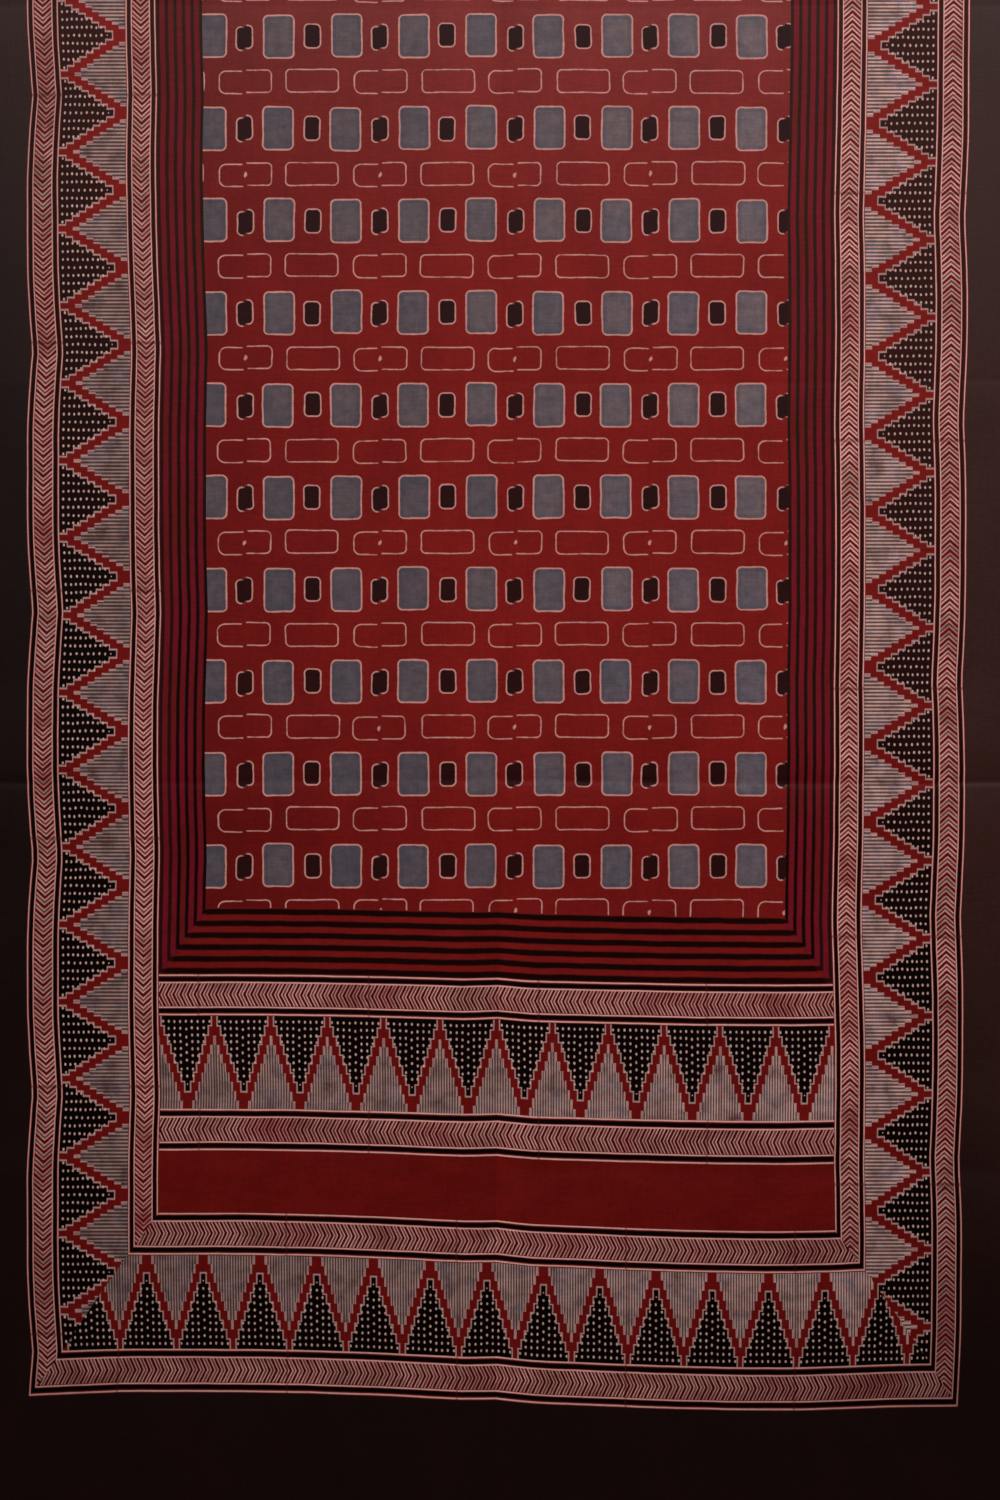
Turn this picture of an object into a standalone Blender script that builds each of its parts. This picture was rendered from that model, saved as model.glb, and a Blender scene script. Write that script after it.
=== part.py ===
"""Ajrakh cloth: one block-printed cotton sheet, unfolded and laid out flat, with its fold creases.

X runs across the cloth and Y along it, with the end that shows best towards -Y.
The origin is at the middle of the underside, on the surface that the cloth lies on.
"""

import math
from collections import namedtuple

import bmesh
import bpy

# Driving dimensions, in metres
WIDTH = 0.900  # from selvedge to selvedge
LENGTH = 2.500  # from hem to hem
THICKNESS = 0.0015
HEM_WIDTH = 0.010  # the turned hem across each end
HEM_EXTRA = 0.0007  # how much thicker the cloth is there
HEM_SLOPE = 0.002  # over which the hem comes down to the sheet

# The outline's unevenness: how far an edge draws in between its waves, and how long a wave is
SIDE_DRAW = 0.0025
SIDE_WAVE = LENGTH / 4
END_DRAW = 0.0020
END_WAVE = WIDTH / 2

# Folded in half across and in eight along, the cloth keeps one crease along it and seven across.
# A positive height is a ridge. A negative one is a trough, which lies on the surface between two swells.
CREASE_REACH = 0.090  # from the crease's line to the flat cloth
CROSSING = 0.040  # half the width over which a cross crease turns over at the middle crease
WANDER_LENGTH = 0.60  # along a crease, from one sideways bend to the next but one

Crease = namedtuple("Crease", "at left right wander phase")
CROSS_CREASES = (
    Crease(at=-0.945, left=0.0022, right=-0.0026, wander=0.0016, phase=0.3),
    Crease(at=-0.634, left=-0.0016, right=-0.0030, wander=0.0012, phase=1.9),
    Crease(at=-0.314, left=0.0026, right=-0.0018, wander=0.0020, phase=3.2),
    Crease(at=-0.014, left=-0.0028, right=-0.0022, wander=0.0014, phase=4.6),
    Crease(at=0.303, left=0.0020, right=-0.0024, wander=0.0018, phase=0.9),
    Crease(at=0.618, left=-0.0024, right=0.0020, wander=0.0015, phase=2.7),
    Crease(at=0.925, left=-0.0020, right=0.0026, wander=0.0019, phase=5.1),
)
MIDDLE_DEPTH = 0.0024  # the swells beside the crease along the middle
MIDDLE_WANDER = 0.0015
MIDDLE_WAVE = 1.30

# Where the sheet gets its lines of points, as shares of a crease's reach
RIDGE_STEPS = (-1.0, -0.62, -0.33, -0.12, 0.0, 0.12, 0.33, 0.62, 1.0)
SIDE_COLUMNS = 6  # between the middle crease and each selvedge
SWELL_SCALE = 27 / 4  # brings a trough's swells to height 1 at their tops
END_FADE = 8  # the power by which an end's waves fade towards the middle of the cloth

CLOTH_COLOUR = (0.105, 0.022, 0.020, 1.0)
CLOTH_ROUGHNESS = 0.85


def clear_scene():
    """Removes what a new file holds."""
    for thing in list(bpy.data.objects):
        bpy.data.objects.remove(thing, do_unlink=True)


def smooth_step(value):
    """0 below 0 and 1 above 1, with a smooth turn between."""
    value = min(max(value, 0.0), 1.0)
    return value * value * (3.0 - 2.0 * value)


def ridge_shape(share):
    """Height of a ridge of height 1, at this share of its reach from the crease."""
    return (1.0 - share) ** 2 if share < 1.0 else 0.0


def trough_shape(share):
    """Height of the swells of height 1 on both sides of a trough."""
    return SWELL_SCALE * share * (1.0 - share) ** 2 if share < 1.0 else 0.0


def crease_height(height, distance):
    """Lift of the cloth this far from a crease's line."""
    share = abs(distance) / CREASE_REACH
    return height * ridge_shape(share) if height > 0.0 else -height * trough_shape(share)


def cross_line(crease, x):
    """Where a crease across the cloth runs at this x."""
    return crease.at + crease.wander * math.sin(2.0 * math.pi * x / WANDER_LENGTH + crease.phase)


def middle_line(y):
    """Where the crease along the cloth runs at this y."""
    return MIDDLE_WANDER * math.sin(2.0 * math.pi * y / MIDDLE_WAVE)


def lift(x, y):
    """Height of the cloth's underside over the surface."""
    to_right = smooth_step(0.5 + 0.5 * x / CROSSING)
    height = crease_height(-MIDDLE_DEPTH, x - middle_line(y))
    for crease in CROSS_CREASES:
        distance = y - cross_line(crease, x)
        height += (1.0 - to_right) * crease_height(crease.left, distance)
        height += to_right * crease_height(crease.right, distance)
    return height


def hem_thickness(end_distance):
    """Thickness of the cloth this far from its end."""
    past_hem = smooth_step((end_distance - HEM_WIDTH) / HEM_SLOPE)
    return THICKNESS + HEM_EXTRA * (1.0 - past_hem)


def drawn_in(share, draw, wave, length):
    """How far an edge draws in at this share of its length, with none at its corners."""
    return draw * 0.5 * (1.0 - math.cos(2.0 * math.pi * share * length / wave))


def columns():
    """Places across the cloth at which it has points, as distances from the middle crease."""
    near = [CREASE_REACH * step for step in RIDGE_STEPS]
    room = WIDTH / 2 - CREASE_REACH
    far = [CREASE_REACH + room * (i + 1) / SIDE_COLUMNS for i in range(SIDE_COLUMNS)]
    return [-x for x in reversed(far)] + near + far


def rows():
    """Rows of points along the cloth, each as its y and the crease that it bends with, or None."""
    end = LENGTH / 2
    hem = [end, end - HEM_WIDTH, end - HEM_WIDTH - HEM_SLOPE]
    listed = [(-y, None) for y in hem]
    for crease in CROSS_CREASES:
        listed += [(crease.at + CREASE_REACH * step, crease) for step in RIDGE_STEPS]
    listed += [(y, None) for y in reversed(hem)]
    return listed


def place(across, along, crease):
    """The point of a column and a row, seen from above."""
    side = abs(across) / (WIDTH / 2)
    end = abs(along) / (LENGTH / 2)
    side_draw = drawn_in(along / LENGTH + 0.5, SIDE_DRAW, SIDE_WAVE, LENGTH)
    end_draw = drawn_in(across / WIDTH + 0.5, END_DRAW, END_WAVE, WIDTH)
    x = across * (1.0 - side * side_draw / (WIDTH / 2))
    y = along * (1.0 - end ** END_FADE * end_draw / (LENGTH / 2))
    if crease is not None:
        y += cross_line(crease, x) - crease.at
    x += middle_line(y) * (1.0 - smooth_step(side))
    return x, y


def build_sheet():
    """The closed solid of the cloth: its face, its underside and the edge all round."""
    bm = bmesh.new()
    top = []
    under = []
    for along, crease in rows():
        top_row = []
        under_row = []
        for across in columns():
            x, y = place(across, along, crease)
            low = lift(x, y)
            high = low + hem_thickness(LENGTH / 2 - abs(along))
            top_row.append(bm.verts.new((x, y, high)))
            under_row.append(bm.verts.new((x, y, low)))
        top.append(top_row)
        under.append(under_row)
    last_row = len(top) - 1
    last_column = len(top[0]) - 1
    for j in range(last_row):
        for i in range(last_column):
            bm.faces.new((top[j][i], top[j][i + 1], top[j + 1][i + 1], top[j + 1][i]))
            bm.faces.new((under[j][i], under[j + 1][i], under[j + 1][i + 1], under[j][i + 1]))
    for i in range(last_column):
        bm.faces.new((under[0][i], under[0][i + 1], top[0][i + 1], top[0][i]))
        bm.faces.new((under[last_row][i + 1], under[last_row][i], top[last_row][i], top[last_row][i + 1]))
    for j in range(last_row):
        bm.faces.new((under[j + 1][0], under[j][0], top[j][0], top[j + 1][0]))
        bm.faces.new(
            (under[j][last_column], under[j + 1][last_column], top[j + 1][last_column], top[j][last_column])
        )
    bmesh.ops.recalc_face_normals(bm, faces=bm.faces)
    mesh = bpy.data.meshes.new("cloth")
    bm.to_mesh(mesh)
    bm.free()
    return mesh


def cotton_material():
    """Dyed cotton in the print's average colour."""
    material = bpy.data.materials.new("printed_cotton")
    material.use_nodes = True
    shader = material.node_tree.nodes["Principled BSDF"]
    shader.inputs["Base Color"].default_value = CLOTH_COLOUR
    shader.inputs["Roughness"].default_value = CLOTH_ROUGHNESS
    shader.inputs["Metallic"].default_value = 0.0
    return material


def main():
    clear_scene()
    cloth = bpy.data.objects.new("cloth", build_sheet())
    bpy.context.scene.collection.objects.link(cloth)
    cloth.data.materials.append(cotton_material())
    cloth.data.shade_smooth()
    cloth.data.set_sharp_from_angle(angle=math.radians(40))


main()
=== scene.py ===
"""The look of the ajrakh cloth: a block-printed cotton sheet, laid out flat and seen from straight above.

X runs across the cloth and Y along it. The print is the same on both halves of the cloth, mirrored at its middle,
and it goes right through, so the underside shows it too.
"""

import math
from collections import namedtuple

import bpy
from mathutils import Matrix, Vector, noise


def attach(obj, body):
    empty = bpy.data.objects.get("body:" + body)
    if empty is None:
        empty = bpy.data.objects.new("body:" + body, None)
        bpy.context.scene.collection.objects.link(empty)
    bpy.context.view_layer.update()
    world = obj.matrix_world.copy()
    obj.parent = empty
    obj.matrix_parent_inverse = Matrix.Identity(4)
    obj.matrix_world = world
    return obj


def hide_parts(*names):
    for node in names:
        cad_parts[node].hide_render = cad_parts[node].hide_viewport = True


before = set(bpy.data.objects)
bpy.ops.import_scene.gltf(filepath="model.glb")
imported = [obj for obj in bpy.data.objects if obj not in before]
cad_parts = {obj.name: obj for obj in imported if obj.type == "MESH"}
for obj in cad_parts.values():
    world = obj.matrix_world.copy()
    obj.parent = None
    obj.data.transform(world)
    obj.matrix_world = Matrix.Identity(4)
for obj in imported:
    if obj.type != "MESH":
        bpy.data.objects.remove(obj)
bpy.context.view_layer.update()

MM = 0.001

# The cloth, as in its CAD part
WIDTH = 0.900
LENGTH = 2.500
HEM_WIDTH = 0.010
HEM_EXTRA = 0.0007
HEM_SLOPE = 0.002
SIDE_DRAW = 0.0025
SIDE_WAVE = LENGTH / 4
END_DRAW = 0.0020
END_WAVE = WIDTH / 2
CREASE_REACH = 0.090
CROSSING = 0.040
WANDER_LENGTH = 0.60
MIDDLE_CREASE = 0.0068  # the crease along the cloth, from the cloth's middle
MIDDLE_SLANT = 0.0042  # how far it slants to the left at the ends
SLANT_START = 0.70
SLANT_LENGTH = 0.30
MIDDLE_DEPTH = 0.0024
SWELL_SCALE = 27 / 4

Crease = namedtuple("Crease", "at left right wander phase")
CROSS_CREASES = (
    Crease(at=-0.945, left=0.0022, right=-0.0026, wander=0.0016, phase=0.3),
    Crease(at=-0.634, left=-0.0016, right=-0.0030, wander=0.0012, phase=1.9),
    Crease(at=-0.314, left=0.0026, right=-0.0018, wander=0.0020, phase=3.2),
    Crease(at=-0.014, left=-0.0028, right=-0.0022, wander=0.0014, phase=4.6),
    Crease(at=0.303, left=0.0020, right=-0.0024, wander=0.0018, phase=0.9),
    Crease(at=0.618, left=-0.0024, right=0.0020, wander=0.0015, phase=2.7),
    Crease(at=0.925, left=-0.0020, right=0.0026, wander=0.0019, phase=5.1),
)

# The cloth's look: thinner than the solid, softer folds, and a sharp line along each crease
CLOTH_THICKNESS = 1.3 * MM
FOLD_SHARE = 0.45  # of the solid's folds
LINE_DEPTH = 0.36 * MM  # of a crease's own line
SMOOTHED_SHARE = 0.25  # what smoothing by hand left of the creases near the middle of the cloth
LINE_HALF_WIDTH = 2.6 * MM
WAVE_HEIGHT = 0.30 * MM
WAVE_LENGTH = 110 * MM

# The print, from its outermost light line inwards
PRINT_CENTRE = 5.1 * MM  # across the cloth, from the cloth's own middle
PRINT_HALF_WIDTH = 374.9 * MM
PRINT_HALF_LENGTH = 1121.8 * MM

# Where each zone starts, counted in from a side's outermost line, and how many columns of faces it gets
Zone = namedtuple("Zone", "name start steps")
SIDE_ZONES = (
    Zone("outer strip", -1.0 * MM, 4),
    Zone("triangles", 24.9 * MM, 8),
    Zone("inner strip", 79.5 * MM, 4),
    Zone("stripes", 104.5 * MM, 5),
    Zone("field", 141.4 * MM, 25),
)

# The same, counted in from an end's outermost line. Zones that both lists have meet in a mitre at the corner.
END_ZONES = (
    Zone("outer strip", -1.3 * MM, 4),
    Zone("triangles", 33.8 * MM, 8),
    Zone("inner strip", 108.6 * MM, 4),
    Zone("red band", 142.7 * MM, 9),
    Zone("second strip", 192.2 * MM, 8),
    Zone("inverted triangles", 226.0 * MM, 8),
    Zone("third strip", 300.2 * MM, 4),
    Zone("stripes", 333.6 * MM, 5),
    Zone("field", 386.8 * MM, 78),
)
MARGIN_STEPS = 8
CREASE_OFFSETS = (-12, -8, -5, -3, -1.5, 0, 1.5, 3, 5, 8, 12)  # rows beside a crease, in mm

# The printing block of the strips: its first and last light line in each zone, and the length of one stroke's repeat
STRIP_DEPTH = 32.8 * MM
SIDE_STROKE = 7.84 * MM
END_STROKE = 5.66 * MM
SIDE_STRIPS = {"outer strip": (0.0, 24.0 * MM), "inner strip": (80.4 * MM, 103.2 * MM)}
END_STRIPS = {
    "outer strip": (0.0, 32.8 * MM),
    "inner strip": (109.8 * MM, 141.8 * MM),
    "second strip": (193.3 * MM, 225.0 * MM),
    "third strip": (301.3 * MM, 332.6 * MM),
}
POINTS_RIGHT = ("outer strip", "inner strip")  # of the strips across an end. The others point left
SIDE_BLOCKS = (-10.8, 25.3)  # a joint between two blocks, and a block's length, in strokes
RIGHT_BLOCK_SHIFT = 19  # in strokes
END_BLOCKS = (5.8, 24.0)

# The printing block of the stepped triangles, as it prints across an end
BLOCK_PITCH = 45.2 * MM
BLOCK_DEPTH = 74.7 * MM
SIDE_DEPTH = 54.6 * MM
LEFT_PITCH = 61.84 * MM
LEFT_FIRST = 37.1 * MM  # the first triangle's tip, from the cloth's middle
RIGHT_PITCH = 62.15 * MM
RIGHT_FIRST = 45.0 * MM
END_PITCH = 45.25 * MM
END_FIRST = -325.5 * MM  # a triangle's tip, from the print's middle
INVERTED_PITCH = 45.0 * MM
INVERTED_FIRST = -248.7 * MM

# The stripes: where the first would have its outer side, and their pitch
SIDE_STRIPE_START = 102.4 * MM
SIDE_STRIPE_PITCH = 6.88 * MM
END_STRIPE_START = 331.7 * MM
END_STRIPE_PITCH = 9.47 * MM
STRIPE_CORNER_X = 231.3 * MM  # where the innermost stripes turn, from the middle of the cloth
STRIPE_CORNER_Y = 744.0 * MM

# The field's motifs
FIELD_FIRST = -197.4 * MM  # a narrow motif's middle
FIELD_PITCH_X = 54.05 * MM
FIELD_PITCH_Y = 73.76 * MM

# How unevenly the blocks were set. A joint between two blocks pulls the frame inwards.
LEFT_JOINTS = (0.085, 0.289, 0.498, 0.693, 0.883, 1.089)
RIGHT_JOINTS = (0.181, 0.345, 0.553, 0.737, 0.925, 1.121)
JOINT_REACH = 72 * MM
LEFT_JOINT_PULL = 4.4 * MM
RIGHT_JOINT_PULL = 2.6 * MM
INNER_PULL_SHARE = 0.35
PULL_DEPTH = 80 * MM  # over which the pull falls to that share
DROP_START = -221 * MM  # the end bands drop between these two places across the cloth
DROP_END = 231 * MM
DROP_BACK = 350 * MM
CORNER_JOINT = -298 * MM  # where the left corner's block ends
CORNER_DROP = 3.2 * MM
KINK_RISE = 1.4 * MM  # how far the crease along the cloth draws the end bands up
KINK_REACH = 26 * MM
OUTER_DROP = 14.8 * MM
MIDDLE_DROP = 9.6 * MM
INNER_DROP = 7.6 * MM


def smooth_step(value):
    """0 below 0 and 1 above 1, with a smooth turn between."""
    value = min(max(value, 0.0), 1.0)
    return value * value * (3.0 - 2.0 * value)


def crease_height(height, distance):
    """Lift of the cloth this far from a crease's line: a ridge, or the swells beside a trough."""
    share = abs(distance) / CREASE_REACH
    if share >= 1.0:
        return 0.0
    if height > 0.0:
        return height * (1.0 - share) ** 2
    return -height * SWELL_SCALE * share * (1.0 - share) ** 2


def cross_line(crease, x):
    """Where a crease across the cloth runs at this x."""
    return crease.at + crease.wander * math.sin(2.0 * math.pi * x / WANDER_LENGTH + crease.phase)


def middle_line(y):
    """Where the crease along the cloth runs at this y: straight, with a slant near the ends."""
    return MIDDLE_CREASE - MIDDLE_SLANT * smooth_step((abs(y) - SLANT_START) / SLANT_LENGTH)


def crease_share(crease):
    """How much of a crease still shows."""
    from_middle = smooth_step((abs(crease.at) - 0.35) / 0.20)
    return SMOOTHED_SHARE + (1.0 - SMOOTHED_SHARE) * from_middle


def lift(x, y):
    """Height of the solid's folds, with those near the middle of the cloth smoothed out."""
    to_right = smooth_step(0.5 + 0.5 * x / CROSSING)
    height = crease_height(-MIDDLE_DEPTH, x - middle_line(y))
    for crease in CROSS_CREASES:
        distance = y - cross_line(crease, x)
        share = crease_share(crease)
        height += share * (1.0 - to_right) * crease_height(crease.left, distance)
        height += share * to_right * crease_height(crease.right, distance)
    return height


def crease_lines(x, y):
    """The sharp line that each crease leaves in the cloth's face, down along a trough and up along a ridge."""
    to_right = smooth_step(0.5 + 0.5 * x / CROSSING)
    height = -0.7 * math.exp(-(((x - middle_line(y)) / LINE_HALF_WIDTH) ** 2))
    for crease in CROSS_CREASES:
        distance = (y - cross_line(crease, x)) / LINE_HALF_WIDTH
        if abs(distance) < 3.0:
            left = 0.3 if crease.left > 0.0 else -0.6
            right = 0.5 if crease.right > 0.0 else -1.0
            height += crease_share(crease) * (left + (right - left) * to_right) * math.exp(-(distance ** 2))
    return LINE_DEPTH * height


def waves(x, y):
    """Low, uneven waves of cloth that was folded and smoothed out by hand."""
    low = noise.noise(Vector((x / WAVE_LENGTH, 0.6 * y / WAVE_LENGTH, 3.1)))
    fine = noise.noise(Vector((2.7 * x / WAVE_LENGTH, 2.2 * y / WAVE_LENGTH, 7.7)))
    return WAVE_HEIGHT * (0.5 + 0.5 * low + 0.2 * fine)


def hem_rise(end_distance):
    """How much thicker the cloth is this far from its end."""
    return HEM_EXTRA * (1.0 - smooth_step((end_distance - HEM_WIDTH) / HEM_SLOPE))


def drawn_in(share, draw, wave, length):
    """How far an edge draws in at this share of its length, with none at its corners."""
    return draw * 0.5 * (1.0 - math.cos(2.0 * math.pi * share * length / wave))


def joint_pull(joints, along):
    """1 at a joint between two blocks of the frame and 0 away from it."""
    nearest = min(abs(along - joint) for joint in joints)
    return max(0.0, 1.0 - nearest / JOINT_REACH) ** 1.5


def side_shift(right_side, inwards, along):
    """How far the print stands to the right of its even layout, this far in from a side's outermost line."""
    inner_share = min(max(inwards / PULL_DEPTH, 0.0), 1.0)
    pull_share = 1.0 + (INNER_PULL_SHARE - 1.0) * inner_share
    if right_side:
        pull = -RIGHT_JOINT_PULL * joint_pull(RIGHT_JOINTS, along)
        outer = 2.4 * MM - 6.6 * MM * along
        inner = 2.0 * MM * (1.0 - smooth_step(along / 0.18)) - 1.0 * MM
        inner -= 2.0 * MM * smooth_step((along - 0.48) / 0.26)
        inner += 2.0 * MM * smooth_step((along - 0.74) / 0.12)
    else:
        pull = LEFT_JOINT_PULL * joint_pull(LEFT_JOINTS, along)
        outer = -1.5 * MM
        inner = -3.2 * MM * (1.0 - smooth_step((along - 0.10) / 0.20))
        inner -= 0.9 * MM * smooth_step((along - 0.52) / 0.08)
    return pull * pull_share + outer + (inner - outer) * inner_share


def end_drop(x, inwards):
    """How far the end's bands stand out from their even layout, this far in from the end's outermost line."""
    corner = CORNER_DROP * min(max((CORNER_JOINT - x) / 0.072, 0.0), 1.0) * max(0.0, 1.0 - inwards / 0.110)
    kink = max(0.0, 1.0 - abs(x - MIDDLE_CREASE + 0.5 * MIDDLE_SLANT) / KINK_REACH)
    kink *= KINK_RISE * min(max((0.44 - inwards) / 0.10, 0.0), 1.0)
    share = smooth_step((x - DROP_START) / (DROP_END - DROP_START))
    share -= 0.2 * smooth_step((x - DROP_END) / (DROP_BACK - DROP_END))
    if inwards < 0.140:
        drop = OUTER_DROP
    elif inwards < 0.226:
        drop = OUTER_DROP + (MIDDLE_DROP - OUTER_DROP) * (inwards - 0.140) / 0.086
    elif inwards < 0.387:
        drop = MIDDLE_DROP + (INNER_DROP - MIDDLE_DROP) * (inwards - 0.226) / 0.161
    else:
        drop = INNER_DROP * max(0.0, 1.0 - (inwards - 0.387) / 0.200)
    return share * drop + corner - kink


def steps_between(first, last, count):
    """Evenly spaced values from first up to but without last."""
    return [first + (last - first) * k / count for k in range(count)]


def zone_lines(zones, middle):
    """Every line of points inwards from the outermost one, each with the zone that follows it."""
    lines = []
    for k, zone in enumerate(zones):
        end = zones[k + 1].start if k + 1 < len(zones) else middle
        for step, value in enumerate(steps_between(zone.start, end, zone.steps)):
            lines.append((value, zone.name, step))
    return lines


# A line of points: where it runs, counted in from its own edge, and what the faces towards the cloth's middle show.
# A margin's place is a share of the way from the print to the cloth's edge.
Line = namedtuple("Line", "far inwards margin zone step")


def lines_across(zones, middle, margin_shares):
    """The lines from one edge of the cloth to its middle line."""
    lines = [Line(None, 0.0, share, "margin", 0) for share in margin_shares]
    lines += [Line(None, value, None, name, step) for value, name, step in zone_lines(zones, middle)]
    return lines


SIDE_MARGIN = [1.0 - k / MARGIN_STEPS for k in range(MARGIN_STEPS)]
END_MARGIN = [1.0, 0.965, 0.925, 0.905] + [0.80 - 0.80 * k / 6 for k in range(6)]


def with_creases(values, centres, clear):
    """The values, with closer ones beside each crease instead of those that were there."""
    kept = [v for v in values if all(abs(v - c) > clear for c in centres)]
    for centre in centres:
        kept += [centre + offset * MM for offset in CREASE_OFFSETS]
    return sorted(kept)


def columns():
    """Columns of points from the left selvedge to the right one."""
    half = lines_across(SIDE_ZONES, PRINT_HALF_WIDTH, SIDE_MARGIN)
    edge = [line for line in half if line.zone != "field"]
    field_start = SIDE_ZONES[-1].start
    field = PRINT_HALF_WIDTH - field_start
    even = steps_between(-field, field, 2 * SIDE_ZONES[-1].steps)[1:]
    inner = with_creases(even, [MIDDLE_CREASE - 0.5 * MIDDLE_SLANT - PRINT_CENTRE], 13 * MM)
    found = [line._replace(far=False) for line in edge]
    found.append(Line(False, field_start, None, "field", 0))
    found += [Line(u > 0.0, PRINT_HALF_WIDTH - abs(u), None, "field", 0) for u in inner]
    found.append(Line(True, field_start, None, "field", 0))
    found += [line._replace(far=True) for line in reversed(edge)]
    return found


def rows():
    """Rows of points from the near hem to the far one."""
    half = lines_across(END_ZONES, PRINT_HALF_LENGTH, END_MARGIN)
    edge = [line for line in half if line.zone != "field"]
    field_start = END_ZONES[-1].start
    field = PRINT_HALF_LENGTH - field_start
    even = steps_between(-field, field, 2 * END_ZONES[-1].steps)[1:]
    inner = with_creases(even, [c.at for c in CROSS_CREASES if abs(c.at) < field], 13 * MM)
    found = [line._replace(far=False) for line in edge]
    found.append(Line(False, field_start, None, "field", 0))
    found += [Line(w > 0.0, PRINT_HALF_LENGTH - abs(w), None, "field", 0) for w in inner]
    found.append(Line(True, field_start, None, "field", 0))
    found += [line._replace(far=True) for line in reversed(edge)]
    return found


def place(column, row):
    """Where the point of a column and a row lies, seen from above."""
    across = PRINT_HALF_WIDTH - column.inwards
    along = PRINT_HALF_LENGTH - row.inwards
    x_sign = 1.0 if column.far else -1.0
    y_sign = 1.0 if row.far else -1.0
    shift = side_shift(column.far, column.inwards, along)
    if column.zone == "field":
        shift *= min(1.0, across / (PRINT_HALF_WIDTH - SIDE_ZONES[-1].start))
    x = PRINT_CENTRE + x_sign * across + shift
    side_edge = WIDTH / 2 - drawn_in(0.5 + y_sign * along / LENGTH, SIDE_DRAW, SIDE_WAVE, LENGTH)
    if column.margin is not None:
        x += (x_sign * side_edge - x) * column.margin
    y = along + end_drop(x, row.inwards)
    end_edge = LENGTH / 2 - drawn_in(0.5 + x / WIDTH, END_DRAW, END_WAVE, WIDTH)
    if row.margin is not None:
        y += (end_edge - y) * row.margin
    return x, y_sign * y


def block_spot(region, column, row, x, y):
    """Where a point lies on the printing block of its region: along the block, and into its depth."""
    kind, name = region
    across = PRINT_HALF_WIDTH - column.inwards
    along = PRINT_HALF_LENGTH - row.inwards
    u = across if column.far else -across
    s = column.inwards
    e = row.inwards
    if kind == "side strip":
        first, last = SIDE_STRIPS[name]
        stroke = abs(y) / SIDE_STROKE + RIGHT_BLOCK_SHIFT if column.far else -abs(y) / SIDE_STROKE
        return stroke, STRIP_DEPTH * (s - first) / (last - first)
    if kind == "end strip":
        first, last = END_STRIPS[name]
        stroke = -u / END_STROKE if name in POINTS_RIGHT else u / END_STROKE
        return stroke, STRIP_DEPTH * (e - first) / (last - first)
    if kind == "side triangles":
        pitch = RIGHT_PITCH if column.far else LEFT_PITCH
        first = RIGHT_FIRST if column.far else LEFT_FIRST
        depth = (s - SIDE_ZONES[1].start) * BLOCK_DEPTH / SIDE_DEPTH
        return (abs(y) - first) / pitch + 0.5, depth
    if kind == "end triangles":
        if name == "triangles":
            return (u - END_FIRST) / END_PITCH + 0.5, e - END_ZONES[1].start
        return (u - INVERTED_FIRST) / INVERTED_PITCH + 0.5, END_ZONES[6].start - e
    if kind == "side stripes":
        return abs(y) / LEFT_PITCH, (s - SIDE_STRIPE_START) / SIDE_STRIPE_PITCH
    if kind == "end stripes":
        return u / END_PITCH, (e - END_STRIPE_START) / END_STRIPE_PITCH
    return (x - FIELD_FIRST) / FIELD_PITCH_X, abs(y) / FIELD_PITCH_Y


def regions(column, row):
    """What one face shows: its region towards the side and its region towards the end, which differ on a mitre."""
    side, end = column.zone, row.zone
    if "margin" in (side, end):
        return ("margin", ""), ("margin", "")
    across_end = {
        "outer strip": ("end strip", end),
        "inner strip": ("end strip", end),
        "second strip": ("end strip", end),
        "third strip": ("end strip", end),
        "triangles": ("end triangles", end),
        "inverted triangles": ("end triangles", end),
        "red band": ("red band", ""),
        "stripes": ("end stripes", ""),
        "field": ("field", ""),
    }[end]
    along_side = {
        "outer strip": ("side strip", side),
        "inner strip": ("side strip", side),
        "triangles": ("side triangles", side),
        "stripes": ("side stripes", ""),
        "field": ("field", ""),
    }[side]
    if side == end:
        if column.step == row.step:
            return along_side, across_end
        chosen = along_side if column.step < row.step else across_end
        return chosen, chosen
    if side == "field":
        return across_end, across_end
    if side == "stripes":
        chosen = along_side if end == "field" else across_end
        return chosen, chosen
    order = ["outer strip", "triangles", "inner strip"]
    chosen = along_side
    if end in order and order.index(end) < order.index(side):
        chosen = across_end
    return chosen, chosen


SLOTS = {
    "margin": 0,
    "side strip": 1,
    "end strip": 2,
    "side triangles": 3,
    "end triangles": 3,
    "side stripes": 4,
    "end stripes": 4,
    "red band": 5,
    "field": 6,
}


class Sheet:
    """Collects the faces of the cloth and what each shows."""

    def __init__(self):
        self.points = []
        self.spots = []
        self.faces = []
        self.slots = []
        self.block = []
        self.printed = []
        self.bake = []

    def point(self, column, row, x, y, z):
        """Adds a point and gives its number."""
        self.points.append((x, y, z))
        self.spots.append((column, row, x, y))
        return len(self.points) - 1

    def face(self, corners, region, draw_in=0.0):
        """Adds a face. draw_in moves its lower points' place in the picture in from the cloth's edge."""
        self.faces.append(corners)
        self.slots.append(SLOTS[region[0]])
        for k, corner in enumerate(corners):
            column, row, x, y = self.spots[corner]
            self.block.append(block_spot(region, column, row, x, y))
            inner = draw_in if k >= 2 else 0.0
            px = x * (1.0 - inner / (WIDTH / 2))
            py = y * (1.0 - inner / (LENGTH / 2))
            self.printed.append((px, -abs(py)))
            self.bake.append((0.5 + 0.998 * px / WIDTH, 0.001 + 0.998 * 2.0 * abs(py) / LENGTH))


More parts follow.
